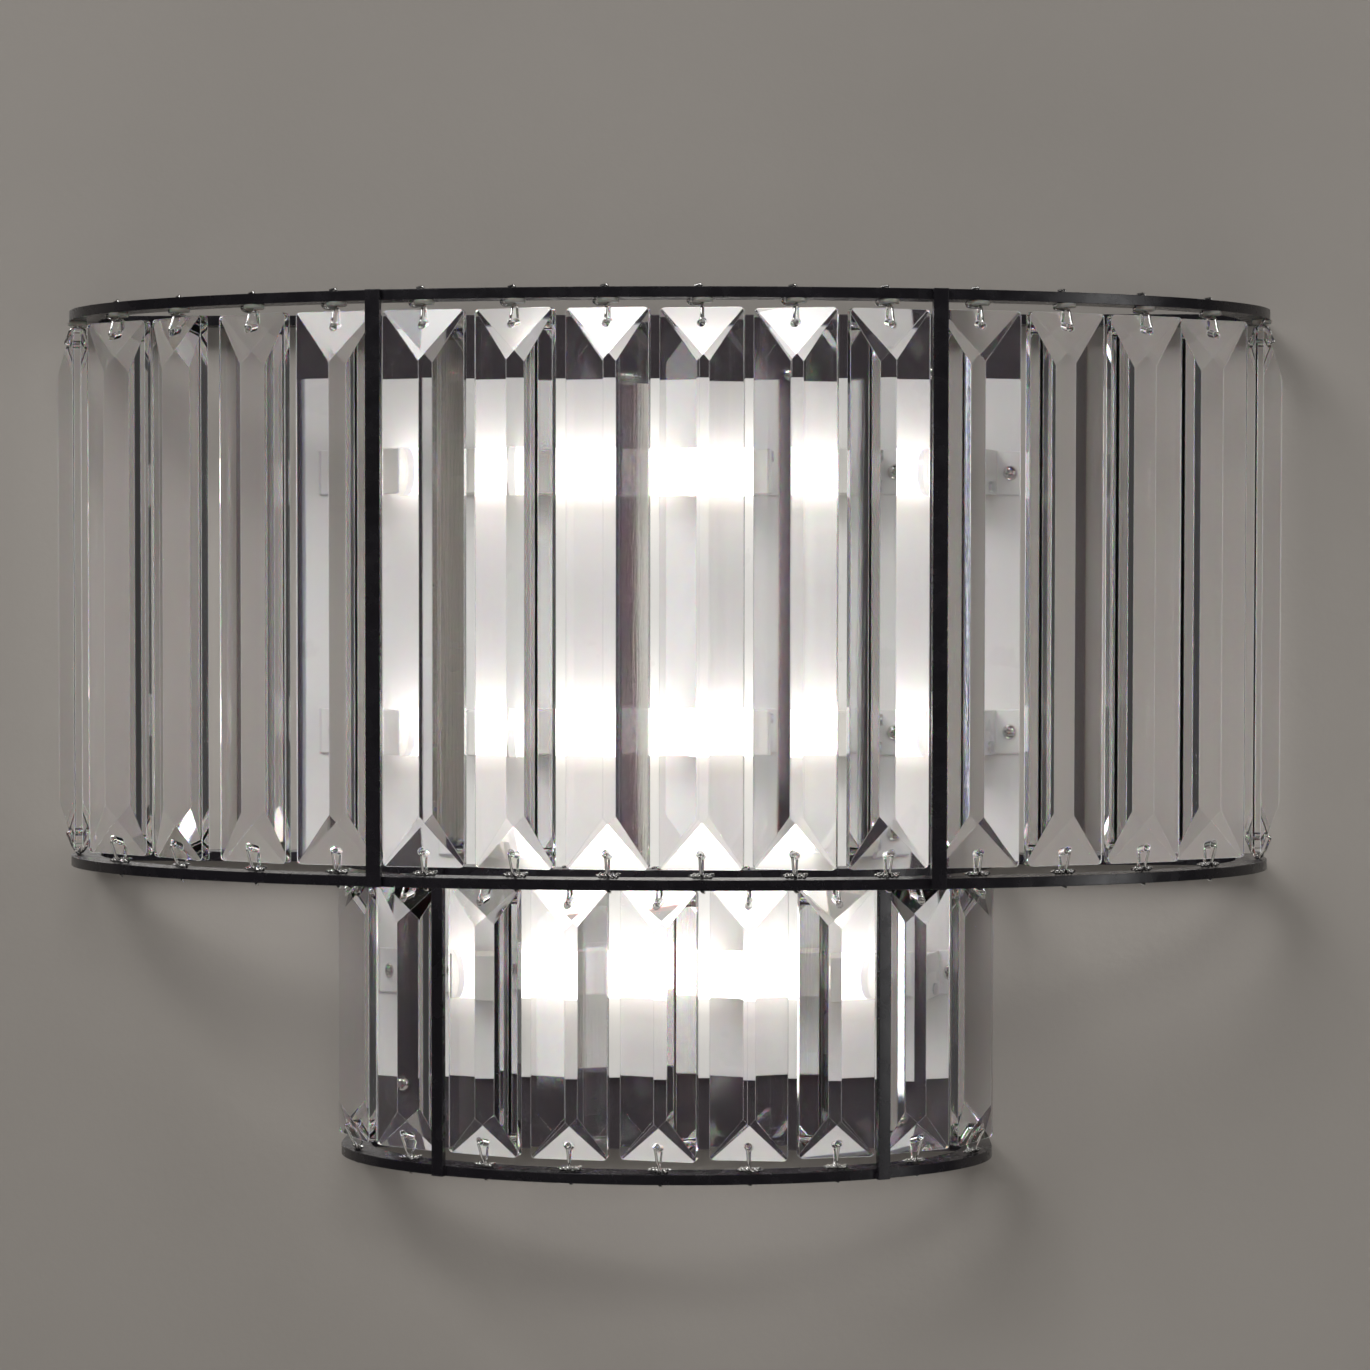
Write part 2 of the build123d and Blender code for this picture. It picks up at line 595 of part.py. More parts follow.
def sprung_holder(level):
    """Right-hand holder: a deep bore for the sprung pin, closed by a seat that its stem runs through."""
    block = holder_block((SPRUNG_MOUTH, SPRUNG_HOLDER_END), level)
    block -= rod_x(CUP_RADIUS, SPRUNG_MOUTH - PAST, SPRING_SEAT, LAMP_Y, level)
    block -= rod_x(STEM_RADIUS + RUNNING, SPRING_SEAT, SPRUNG_HOLDER_END + PAST, LAMP_Y, level)
    lead_hole = (LAMP_Y + CUP_RADIUS - PAST, LAMP_Y + HOLDER_HALF_WIDTH + PAST)
    block -= rod_y(LEAD_RADIUS + SNUG, *lead_hole, SPRUNG_LEAD_X, level)
    for y, z in rivet_places(level):
        block -= rod_x(RIVET_RADIUS + SNUG, SPRUNG_HOLDER_END - RIVET_DEPTH, SPRUNG_HOLDER_END + PAST, y, z)
    return block


def fixed_contact(level):
    """Brass contact disc at the bottom of a fixed cup, with a stem for its lead."""
    disc_end = -LAMP_HALF_LENGTH - CONTACT_THICKNESS
    disc = rod_x(CONTACT_RADIUS, disc_end, -LAMP_HALF_LENGTH, LAMP_Y, level)
    return disc + rod_x(STEM_RADIUS, -FIXED_STEM_END, disc_end, LAMP_Y, level)


def holder_bracket(side, holder_end, level):
    """Steel angle: an upright against the holder's outer end and a foot on the panel."""
    outer = holder_end + HOLDER_BRACKET_SHEET
    tall = (level - HOLDER_HALF_WIDTH, level + HOLDER_HALF_WIDTH)
    foot_front = PANEL_FRONT - HOLDER_BRACKET_SHEET
    upright = box_between((side * holder_end, side * outer), (LAMP_Y - HOLDER_HALF_WIDTH, PANEL_FRONT), tall)
    foot_across = (side * outer, side * (outer + HOLDER_BRACKET_FOOT))
    angle = upright + box_between(foot_across, (foot_front, PANEL_FRONT), tall)
    screw_x = sum(foot_across) / 2
    angle -= rod_y(SCREW_RADIUS + SCREW_CLEARANCE, foot_front - PAST, PANEL_FRONT + PAST, screw_x, level)
    for y, z in rivet_places(level):
        angle -= rod_x(RIVET_RADIUS + SNUG, side * (holder_end - PAST), side * (outer + PAST), y, z)
    return angle


def holder_brackets():
    """The six angles that carry the holders."""
    angles = []
    for level in LAMP_LEVELS.values():
        angles.append(holder_bracket(-1, FIXED_HOLDER_END, level))
        angles.append(holder_bracket(1, SPRUNG_HOLDER_END, level))
    return Compound(children=angles)


def holder_rivets():
    """Two rivets through each angle into its holder."""
    rivets = []
    for side, end in ((-1, FIXED_HOLDER_END), (1, SPRUNG_HOLDER_END)):
        outer = end + HOLDER_BRACKET_SHEET
        for level in LAMP_LEVELS.values():
            for y, z in rivet_places(level):
                shank = rod_x(RIVET_RADIUS, side * (end - RIVET_DEPTH), side * outer, y, z)
                head = rod_x(RIVET_HEAD_RADIUS, side * outer, side * (outer + RIVET_HEAD_HEIGHT), y, z)
                rivets.append(shank + head)
    return Compound(children=rivets)


# Wiring.


def terminal_block():
    """Moulded terminal block behind the plate, with lead entries in front and supply entries behind."""
    half = (-BLOCK_HALF_WIDTH, BLOCK_HALF_WIDTH)
    back = PLATE_BACK + BLOCK_DEPTH
    block = box_between(half, (PLATE_BACK, back), half)
    for x, z, _, _ in block_entries():
        block -= rod_y(LEAD_RADIUS + SNUG, PLATE_BACK - PAST, PLATE_BACK + BLOCK_ENTRY_DEPTH, x, z)
    for row in (-1, 0, 1):
        supply_entry = (back - BLOCK_ENTRY_DEPTH, back + PAST)
        block -= rod_y(LEAD_RADIUS + SCREW_CLEARANCE, *supply_entry, 0, row * BLOCK_ENTRY_STEP)
    earth_entry = (BLOCK_HALF_WIDTH - BLOCK_ENTRY_DEPTH, BLOCK_HALF_WIDTH + PAST)
    return block - rod_x(LEAD_RADIUS + SNUG, *earth_entry, EARTH_LEAD_Y, EARTH_Z)


def lamp_leads():
    """Six sleeved leads from the holders, between panel and plate, into the terminal block."""
    leads = []
    for x, z, column, level in block_entries():
        contact_gap = STEM_RADIUS if column < 0 else SPRING_RADIUS + SPRING_WIRE + SNUG
        points = [
            (column, LAMP_Y + contact_gap, level),
            (column, LEAD_Y, level),
            (x, LEAD_Y, z),
            (x, PLATE_BACK + BLOCK_ENTRY_DEPTH - 0.5, z),
        ]
        leads.append(wire_along(LEAD_RADIUS, points, LEAD_BEND))
    return Compound(children=leads)


def earth_screw():
    """Hexagon-headed earth screw, driven from behind through the eyelet into the plate."""
    head_start = PLATE_BACK + EYELET_SHEET
    hexagon = Pos(EARTH_X, head_start + EARTH_HEAD_HEIGHT, EARTH_Z) * Rot(90, 0, 0) * extrude(
        RegularPolygon(EARTH_HEAD_RADIUS, 6), amount=EARTH_HEAD_HEIGHT
    )
    return hexagon + rod_y(EARTH_SCREW_RADIUS, PLATE_FRONT - 1.5, head_start, EARTH_X, EARTH_Z)


def earth_lead():
    """Earth lead from the terminal block to an eyelet under the earth screw's head."""
    eyelet = rod_y(EYELET_RADIUS, PLATE_BACK, PLATE_BACK + EYELET_SHEET, EARTH_X, EARTH_Z)
    through = (PLATE_BACK - PAST, PLATE_BACK + EYELET_SHEET + PAST)
    eyelet -= rod_y(EARTH_SCREW_RADIUS + SNUG, *through, EARTH_X, EARTH_Z)
    lead_start = BLOCK_HALF_WIDTH - BLOCK_ENTRY_DEPTH + 0.5
    lead_end = EARTH_X - EARTH_HEAD_RADIUS - SNUG
    return eyelet + rod_x(LEAD_RADIUS, lead_start, lead_end, EARTH_LEAD_Y, EARTH_Z)


# Write every piece.

export("wall_bracket", wall_bracket())
export("back_plate", back_plate())
export("plate_screws", plate_screws())
export("lamp_panel", lamp_panel())
export("bracket_screws", bracket_screws())
export("upper_top_ring", closed_ring(UPPER, UPPER.top - RING_HEIGHT))
export("upper_bottom_ring", closed_ring(UPPER, UPPER.bottom))
export("lower_top_ring", open_ring(LOWER, LOWER.top - RING_HEIGHT))
export("lower_bottom_ring", closed_ring(LOWER, LOWER.bottom))
export("upper_posts", posts(UPPER))
export("lower_posts", posts(LOWER))
for tier_name, tier in (("upper", UPPER), ("lower", LOWER)):
    tier_prism = prism(tier)
    for number, location in enumerate(hanging_places(tier), start=1):
        export(f"{tier_name}_prism_{number:02d}", location * tier_prism)
export("top_hooks", hung_group(top_hook))
export("bottom_ties", hung_group(bottom_tie))
export("hook_spacers", hung_group(spacer))
for lamp_name, lamp_level in LAMP_LEVELS.items():
    export(f"{lamp_name}_lamp_tube", lamp_tube(lamp_level))
    export(f"{lamp_name}_lamp_caps", lamp_caps(lamp_level))
    export(f"{lamp_name}_lamp_pin", lamp_pin(lamp_level))
    export(f"{lamp_name}_lamp_spring", lamp_spring(lamp_level))
export("fixed_holders", Compound(children=[fixed_holder(level) for level in LAMP_LEVELS.values()]))
export("sprung_holders", Compound(children=[sprung_holder(level) for level in LAMP_LEVELS.values()]))
export("fixed_contacts", Compound(children=[fixed_contact(level) for level in LAMP_LEVELS.values()]))
export("holder_brackets", holder_brackets())
export("holder_rivets", holder_rivets())
export("terminal_block", terminal_block())
export("lamp_leads", lamp_leads())
export("earth_screw", earth_screw())
export("earth_lead", earth_lead())
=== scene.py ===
import json
import math

import bmesh
import bpy
from mathutils import Matrix, Vector


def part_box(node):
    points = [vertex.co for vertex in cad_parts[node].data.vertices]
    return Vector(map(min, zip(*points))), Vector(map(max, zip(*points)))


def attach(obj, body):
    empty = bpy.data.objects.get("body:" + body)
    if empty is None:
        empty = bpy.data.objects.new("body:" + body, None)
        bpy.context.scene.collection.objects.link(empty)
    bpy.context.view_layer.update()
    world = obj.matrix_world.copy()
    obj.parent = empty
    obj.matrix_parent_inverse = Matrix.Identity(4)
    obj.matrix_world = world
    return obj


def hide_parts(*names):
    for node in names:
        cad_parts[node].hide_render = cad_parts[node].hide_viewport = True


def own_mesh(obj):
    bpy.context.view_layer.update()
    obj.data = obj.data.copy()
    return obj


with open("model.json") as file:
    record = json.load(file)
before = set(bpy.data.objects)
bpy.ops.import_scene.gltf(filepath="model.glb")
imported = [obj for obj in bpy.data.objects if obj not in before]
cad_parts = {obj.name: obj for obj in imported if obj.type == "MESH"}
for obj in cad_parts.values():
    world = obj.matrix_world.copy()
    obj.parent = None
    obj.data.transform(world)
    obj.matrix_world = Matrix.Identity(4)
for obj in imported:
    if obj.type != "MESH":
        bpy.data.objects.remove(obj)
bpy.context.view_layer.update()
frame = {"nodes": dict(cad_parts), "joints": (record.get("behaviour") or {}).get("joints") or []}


# Viewpoint. A long lens just over a metre from the wall, a hand's width to the right of the light's
# middle and level with its upper drum, turned slightly back and down towards it.
VIEW_PLACE = (0.04213, -1.10043, 0.04835)
VIEW_YAW = 0.0331
VIEW_PITCH = -0.0291
VIEW_ROLL = -0.0013
VIEW_FOCAL = 83.67

view_lens = bpy.data.cameras.new("view")
view_lens.sensor_width = 36.0
view_lens.lens = VIEW_FOCAL
view_lens.clip_start = 0.01
view = bpy.data.objects.new("view", view_lens)
bpy.context.scene.collection.objects.link(view)
view_turn = (
    Matrix.Rotation(VIEW_YAW, 3, "Z")
    @ Matrix.Rotation(VIEW_PITCH, 3, "X")
    @ Matrix.Rotation(VIEW_ROLL, 3, "Y")
    @ Matrix.Rotation(math.radians(90), 3, "X")
)
view.matrix_world = Matrix.Translation(VIEW_PLACE) @ view_turn.to_4x4()
bpy.context.scene.camera = view
bpy.context.scene.view_settings.view_transform = "Standard"


# Wall and floor. A light grey plastered wall right behind the fitting and a plain pale floor well below it;
# neither is part of the object. Both show one side only and cast no shadow, so that the fitting's back can be
# seen and lit through the wall.
WALL_HALF = 1.6
FLOOR_LEVEL = -1.0
WALL_BEHIND = 0.0006
PLASTER = (0.43, 0.398, 0.365)
PLASTER_SHADE = (0.38, 0.35, 0.318)
FLOOR_PAINT = (0.70, 0.68, 0.655)
FLOOR_SHADE = (0.66, 0.64, 0.61)


def node_in(tree, kind, **inputs):
    """New node with some of its inputs set by name."""
    node = tree.nodes.new(kind)
    for name, value in inputs.items():
        node.inputs[name.replace("_", " ")].default_value = value
    return node


def object_noise(tree, scale, detail=4.0, roughness=0.55):
    """Noise on the piece's own coordinates, scale in features per metre."""
    place = tree.nodes.new("ShaderNodeTexCoord")
    noise = node_in(tree, "ShaderNodeTexNoise", Scale=scale, Detail=detail, Roughness=roughness)
    tree.links.new(place.outputs["Object"], noise.inputs["Vector"])
    return noise.outputs["Fac"]


def spread(tree, source, low, high):
    """A noise value stretched to run between two values."""
    stretch = node_in(tree, "ShaderNodeMapRange", From_Min=0.3, From_Max=0.7, To_Min=low, To_Max=high)
    tree.links.new(source, stretch.inputs["Value"])
    return stretch.outputs["Result"]


def between(tree, share, first, second):
    """Colour that runs from first to second with a share."""
    mix = tree.nodes.new("ShaderNodeMix")
    mix.data_type = "RGBA"
    mix.inputs["A"].default_value = (*first, 1)
    mix.inputs["B"].default_value = (*second, 1)
    tree.links.new(share, mix.inputs["Factor"])
    return mix.outputs["Result"]


def plain_surface(name, colour, shade):
    """Matt plaster or paint with a slow change of tone and a fine roll mark, clear when seen from behind."""
    finish = bpy.data.materials.new(name)
    finish.use_nodes = True
    tree = finish.node_tree
    skin = tree.nodes["Principled BSDF"]
    skin.inputs["Roughness"].default_value = 0.85
    tone = between(tree, spread(tree, object_noise(tree, 3.0), 0, 1), colour, shade)
    tree.links.new(tone, skin.inputs["Base Color"])
    bump = node_in(tree, "ShaderNodeBump", Strength=0.25, Distance=0.0004)
    tree.links.new(object_noise(tree, 260.0), bump.inputs["Height"])
    tree.links.new(bump.outputs["Normal"], skin.inputs["Normal"])
    side = tree.nodes.new("ShaderNodeNewGeometry")
    one_sided = tree.nodes.new("ShaderNodeMixShader")
    tree.links.new(side.outputs["Backfacing"], one_sided.inputs["Fac"])
    tree.links.new(skin.outputs["BSDF"], one_sided.inputs[1])
    tree.links.new(tree.nodes.new("ShaderNodeBsdfTransparent").outputs["BSDF"], one_sided.inputs[2])
    tree.links.new(one_sided.outputs["Shader"], tree.nodes["Material Output"].inputs["Surface"])
    return finish


room = bmesh.new()
corners = [
    room.verts.new(place)
    for place in (
        (-WALL_HALF, -2 * WALL_HALF, FLOOR_LEVEL),
        (WALL_HALF, -2 * WALL_HALF, FLOOR_LEVEL),
        (WALL_HALF, WALL_BEHIND, FLOOR_LEVEL),
        (-WALL_HALF, WALL_BEHIND, FLOOR_LEVEL),
        (WALL_HALF, WALL_BEHIND, WALL_HALF),
        (-WALL_HALF, WALL_BEHIND, WALL_HALF),
    )
]
room.faces.new(corners[:4])
room.faces.new((corners[3], corners[2], corners[4], corners[5])).material_index = 1
room_mesh = bpy.data.meshes.new("room")
room.to_mesh(room_mesh)
room.free()
room_mesh.materials.append(plain_surface("floor_paint", FLOOR_PAINT, FLOOR_SHADE))
room_mesh.materials.append(plain_surface("plaster", PLASTER, PLASTER_SHADE))
room_shell = bpy.data.objects.new("room", room_mesh)
bpy.context.scene.collection.objects.link(room_shell)
room_shell.visible_shadow = False


# Room light. One large soft box above on the left, a weaker upright one on the right, a wide one behind the
# viewer and one behind the wall for the fitting's back, with a dim even room around them, so that the cut
# glass has both bright and dark to show.
ROOM_STRENGTH = 0.05
SOFT_BOXES = (
    ((-1.1, -1.7, 1.5), 0.9, 0.9, 22.0),
    ((1.5, -1.0, 0.2), 0.3, 1.2, 4.0),
    ((0.3, -2.6, 1.6), 1.4, 0.5, 13.0),
    ((-0.9, 1.8, 0.9), 1.2, 1.2, 26.0),
)

world = bpy.data.worlds.new("room_light")
world.use_nodes = True
world.node_tree.nodes["Background"].inputs["Color"].default_value = (1.0, 0.98, 0.96, 1)
world.node_tree.nodes["Background"].inputs["Strength"].default_value = ROOM_STRENGTH
bpy.context.scene.world = world
for number, (place, wide, tall, power) in enumerate(SOFT_BOXES):
    lamp_data = bpy.data.lights.new(f"soft_box_{number}", "AREA")
    lamp_data.shape = "RECTANGLE"
    lamp_data.size = wide
    lamp_data.size_y = tall
    lamp_data.energy = power
    soft_box = bpy.data.objects.new(f"soft_box_{number}", lamp_data)
    soft_box.location = place
    soft_box.rotation_euler = (Vector((0, 0, 0)) - Vector(place)).to_track_quat("-Z", "Y").to_euler()
    bpy.context.scene.collection.objects.link(soft_box)


# Rings and uprights. Flat steel bar bent to a half ellipse and closed along the wall, with flat strips
# welded up the outside, all stove-enamelled gloss black with the enamel drawn thin on the corners.
ENAMEL_BLACK = (0.008, 0.007, 0.009)
ENAMEL_SHEEN = (0.013, 0.011, 0.015)
THIN_EDGE = (0.022, 0.019, 0.023)
RING_NODES = ("upper_top_ring", "upper_bottom_ring", "lower_top_ring", "lower_bottom_ring")
POST_NODES = ("upper_posts", "lower_posts")


def hard_finish(
    name, colour, shade, edge, edge_radius, metal, rough, grain, grain_depth, patch=40.0, coat=0.0
):
    """Metal, enamel or ceramic: patchy colour and gloss, fine grain, rounded edges worn to a third tone."""
    finish = bpy.data.materials.new(name)
    finish.use_nodes = True
    tree = finish.node_tree
    skin = tree.nodes["Principled BSDF"]
    skin.inputs["Metallic"].default_value = metal
    skin.inputs["Coat Weight"].default_value = coat
    skin.inputs["Coat Roughness"].default_value = 0.08
    patches = object_noise(tree, patch)
    body = between(tree, spread(tree, patches, 0, 1), colour, shade)
    rounded = tree.nodes.new("ShaderNodeBevel")
    rounded.samples = 4
    rounded.inputs["Radius"].default_value = edge_radius
    flat = tree.nodes.new("ShaderNodeNewGeometry")
    facing = tree.nodes.new("ShaderNodeVectorMath")
    facing.operation = "DOT_PRODUCT"
    tree.links.new(rounded.outputs["Normal"], facing.inputs[0])
    tree.links.new(flat.outputs["Normal"], facing.inputs[1])
    at_edge = node_in(tree, "ShaderNodeMapRange", From_Min=0.99, From_Max=0.80, To_Min=0.0, To_Max=1.0)
    tree.links.new(facing.outputs["Value"], at_edge.inputs["Value"])
    broken = tree.nodes.new("ShaderNodeMath")
    broken.operation = "MULTIPLY"
    tree.links.new(at_edge.outputs["Result"], broken.inputs[0])
    tree.links.new(spread(tree, object_noise(tree, 350.0), 0.1, 1.0), broken.inputs[1])
    worn = tree.nodes.new("ShaderNodeMix")
    worn.data_type = "RGBA"
    tree.links.new(broken.outputs["Value"], worn.inputs["Factor"])
    tree.links.new(body, worn.inputs["A"])
    worn.inputs["B"].default_value = (*edge, 1)
    tree.links.new(worn.outputs["Result"], skin.inputs["Base Color"])
    tree.links.new(spread(tree, object_noise(tree, 4 * patch), rough[0], rough[1]), skin.inputs["Roughness"])
    bump = node_in(tree, "ShaderNodeBump", Strength=0.5, Distance=grain_depth)
    tree.links.new(object_noise(tree, grain), bump.inputs["Height"])
    tree.links.new(rounded.outputs["Normal"], bump.inputs["Normal"])
    tree.links.new(bump.outputs["Normal"], skin.inputs["Normal"])
    return finish


def dress(finish, *names):
    """Give a finish to every slot of some carried-over pieces."""
    for name in names:
        for slot in frame["nodes"][name].material_slots:
            slot.material = finish


black_enamel = hard_finish(
    "black_enamel", ENAMEL_BLACK, ENAMEL_SHEEN, THIN_EDGE,
    edge_radius=0.0004, metal=0.0, rough=(0.20, 0.32), grain=900.0, grain_depth=0.00003,
)
dress(black_enamel, *RING_NODES, *POST_NODES)


# Back plate. Pressed sheet steel with its side edges folded back to the wall, finished in a dark pearl
# enamel with a purple-brown cast that mirrors the lamps softly.
PEARL_DARK = (0.115, 0.098, 0.110)
PEARL_LIGHT = (0.175, 0.150, 0.165)
PEARL_EDGE = (0.30, 0.28, 0.29)

pearl_enamel = hard_finish(
    "pearl_enamel", PEARL_DARK, PEARL_LIGHT, PEARL_EDGE,
    edge_radius=0.0006, metal=0.75, rough=(0.16, 0.27), grain=2600.0, grain_depth=0.00002,
    patch=900.0, coat=0.5,
)
dress(pearl_enamel, "back_plate")


# Lamp panel. A shallow white-enamelled tray screwed to the plate, which throws the lamps' light forward;
# the enamel has a faint orange-peel and a little yellowing.
WHITE_FRESH = (0.80, 0.79, 0.775)
WHITE_AGED = (0.74, 0.725, 0.70)
WHITE_EDGE = (0.72, 0.71, 0.69)

white_enamel = hard_finish(
    "white_enamel", WHITE_FRESH, WHITE_AGED, WHITE_EDGE,
    edge_radius=0.0006, metal=0.0, rough=(0.25, 0.40), grain=700.0, grain_depth=0.00005, patch=12.0, coat=0.2,
)
dress(white_enamel, "lamp_panel", "holder_brackets")


# Wall bracket. Plain zinc-plated steel strip and bar behind the plate, with four standoffs welded on.
ZINC = (0.60, 0.60, 0.57)
ZINC_SHADE = (0.47, 0.47, 0.43)
ZINC_EDGE = (0.75, 0.75, 0.74)

zinc_plate = hard_finish(
    "zinc_plate", ZINC, ZINC_SHADE, ZINC_EDGE,
    edge_radius=0.0004, metal=1.0, rough=(0.28, 0.48), grain=500.0, grain_depth=0.00004, patch=120.0,
)
dress(zinc_plate, "wall_bracket")


# Screws. Small nickel-plated machine screws with domed heads and a cross recess, four through the plate and
# six through the feet of the holder brackets, each left at its own angle by the driver.
MM = 0.001
NICKEL = (0.72, 0.70, 0.67)
NICKEL_SHADE = (0.62, 0.60, 0.57)
NICKEL_EDGE = (0.85, 0.84, 0.82)
SCREW_RADIUS = 1.5
SCREW_POINT_RADIUS = 1.2
SCREW_POINT_LENGTH = 0.3
HEAD_DOME = ((0.0, 1.90), (0.9, 1.86), (1.6, 1.66), (2.15, 1.28), (2.48, 0.80), (2.60, 0.30), (2.55, 0.0))
RECESS_LENGTH = 2.4
RECESS_WIDTH = 0.7
RECESS_FLOOR = 1.0
RECESS_CUTTER = 2.0
PLATE_FRONT = -13.2
PLATE_SCREW_TIP = -2.6
FOOT_FRONT = -18.2
FOOT_SCREW_TIP = -10.5
PLATE_SCREWS = [(side * 90.0, level) for side in (-1, 1) for level in (123.0, -120.0)]
FOOT_SCREWS = [(x, level) for x in (-72.7, 77.7) for level in (89.0, 1.0, -81.0)]

nickel_plate = hard_finish(
    "nickel_plate", NICKEL, NICKEL_SHADE, NICKEL_EDGE,
    edge_radius=0.0002, metal=1.0, rough=(0.10, 0.24), grain=1500.0, grain_depth=0.00002, patch=300.0,
)


def shown_mesh(name, mesh):
    """Object in the scene for a mesh."""
    piece = bpy.data.objects.new(name, mesh)
    bpy.context.scene.collection.objects.link(piece)
    return piece


def turned(name, profile, steps=40):
    """Solid of revolution about its own z axis, from (radius, height) points in mm going down its outside."""
    lathe = bmesh.new()
    line = [lathe.verts.new((radius * MM, 0, height * MM)) for radius, height in profile]
    edges = [lathe.edges.new(pair) for pair in zip(line, line[1:])]
    bmesh.ops.spin(
        lathe, geom=line + edges, cent=(0, 0, 0), axis=(0, 0, 1), angle=math.tau, steps=steps, use_merge=True
    )
    bmesh.ops.remove_doubles(lathe, verts=lathe.verts, dist=0.002 * MM)
    bmesh.ops.recalc_face_normals(lathe, faces=lathe.faces)
    for face in lathe.faces:
        face.smooth = True
    mesh = bpy.data.meshes.new(name)
    lathe.to_mesh(mesh)
    lathe.free()
    return shown_mesh(name, mesh)


def mesh_after(piece):
    """The plain mesh that an object's modifiers make."""
    return bpy.data.meshes.new_from_object(piece.evaluated_get(bpy.context.evaluated_depsgraph_get()))


def recessed_screw(name, length):
    """Screw with its head's underside at the origin, the head up and the shank down, cut with a cross."""
    shank = (
        (SCREW_RADIUS, 0.0), (SCREW_RADIUS, SCREW_POINT_LENGTH - length),
        (SCREW_POINT_RADIUS, -length), (0, -length),
    )
    screw = turned(name, HEAD_DOME + shank)
    cross = bmesh.new()
    for long_way in (0, 1):
        size = [RECESS_WIDTH, RECESS_WIDTH, RECESS_CUTTER]
        size[long_way] = RECESS_LENGTH
        bar = bmesh.ops.create_cube(cross, size=MM)["verts"]
        bmesh.ops.scale(cross, vec=size, verts=bar)
        bmesh.ops.translate(cross, vec=(0, 0, (RECESS_FLOOR + RECESS_CUTTER / 2) * MM), verts=bar)
    cutter_mesh = bpy.data.meshes.new("recess")
    cross.to_mesh(cutter_mesh)
    cross.free()
    cutter = shown_mesh("recess", cutter_mesh)
    cut = screw.modifiers.new("recess", "BOOLEAN")
    cut.object = cutter
    cut.use_self = True
    screw_mesh = mesh_after(screw)
    bpy.data.objects.remove(screw)
    bpy.data.objects.remove(cutter)
    return shown_mesh(name, screw_mesh)


def new_group(name, inputs):
    """Empty geometry node group with named inputs, one geometry output, and its two end nodes."""
    group = bpy.data.node_groups.new(name, "GeometryNodeTree")
    for label, kind in inputs:
        group.interface.new_socket(label, in_out="INPUT", socket_type=kind)
    group.interface.new_socket("Geometry", in_out="OUTPUT", socket_type="NodeSocketGeometry")
    return group, group.nodes.new("NodeGroupInput"), group.nodes.new("NodeGroupOutput")


def random_angle(group, inlet, limit, offset):
    """Random angle between minus and plus a named input, with a seed of its own."""
    low = group.nodes.new("ShaderNodeMath")
    low.operation = "MULTIPLY"
    low.inputs[1].default_value = -1.0
    seed = group.nodes.new("ShaderNodeMath")
    seed.inputs[1].default_value = offset
    pick = group.nodes.new("FunctionNodeRandomValue")
    group.links.new(inlet.outputs[limit], low.inputs[0])
    group.links.new(inlet.outputs["Seed"], seed.inputs[0])
    group.links.new(low.outputs[0], pick.inputs[2])
    group.links.new(inlet.outputs[limit], pick.inputs[3])
    group.links.new(seed.outputs[0], pick.inputs["Seed"])
    return pick.outputs[1]


def placing_group():
    """Sets a piece at every point of a set, turned by the point's own angle and by small random ones."""
    group, inlet, outlet = new_group(
        "set_at_places",
        (
            ("Places", "NodeSocketObject"), ("Piece", "NodeSocketObject"), ("Tip", "NodeSocketFloat"),
            ("Lean", "NodeSocketFloat"), ("Spin", "NodeSocketFloat"), ("Twist", "NodeSocketFloat"),
            ("Seed", "NodeSocketInt"), ("Material", "NodeSocketMaterial"),
        ),
    )
    places = group.nodes.new("GeometryNodeObjectInfo")
    piece = group.nodes.new("GeometryNodeObjectInfo")
    turn = group.nodes.new("GeometryNodeInputNamedAttribute")
    turn.inputs["Name"].default_value = "turn"
    tipped = group.nodes.new("ShaderNodeMath")
    twisted = group.nodes.new("ShaderNodeMath")
    angles = group.nodes.new("ShaderNodeCombineXYZ")
    copies = group.nodes.new("GeometryNodeInstanceOnPoints")
    real = group.nodes.new("GeometryNodeRealizeInstances")
    finish = group.nodes.new("GeometryNodeSetMaterial")
    link = group.links.new
    link(inlet.outputs["Places"], places.inputs["Object"])
    link(inlet.outputs["Piece"], piece.inputs["Object"])
    link(inlet.outputs["Tip"], tipped.inputs[0])
    link(random_angle(group, inlet, "Lean", 1), tipped.inputs[1])
    link(turn.outputs[0], twisted.inputs[0])
    link(random_angle(group, inlet, "Twist", 2), twisted.inputs[1])
    link(tipped.outputs[0], angles.inputs["X"])
    link(random_angle(group, inlet, "Spin", 3), angles.inputs["Y"])
    link(twisted.outputs[0], angles.inputs["Z"])
    link(places.outputs["Geometry"], copies.inputs["Points"])
    link(piece.outputs["Geometry"], copies.inputs["Instance"])
    link(angles.outputs[0], copies.inputs["Rotation"])
    link(copies.outputs[0], real.inputs[0])
    link(real.outputs[0], finish.inputs["Geometry"])
    link(inlet.outputs["Material"], finish.inputs["Material"])
    link(finish.outputs[0], outlet.inputs[0])
    return group


SET_AT_PLACES = placing_group()


def grown(name, group, values):
    """Plain mesh that a node group makes from its named inputs."""
    holder = shown_mesh(name, bpy.data.meshes.new(name))
    grow = holder.modifiers.new("grow", "NODES")
    grow.node_group = group
    for socket in group.interface.items_tree:
        if socket.in_out == "INPUT":
            grow[socket.identifier] = values[socket.name]
    mesh = mesh_after(holder)
    bpy.data.objects.remove(holder)
    return mesh


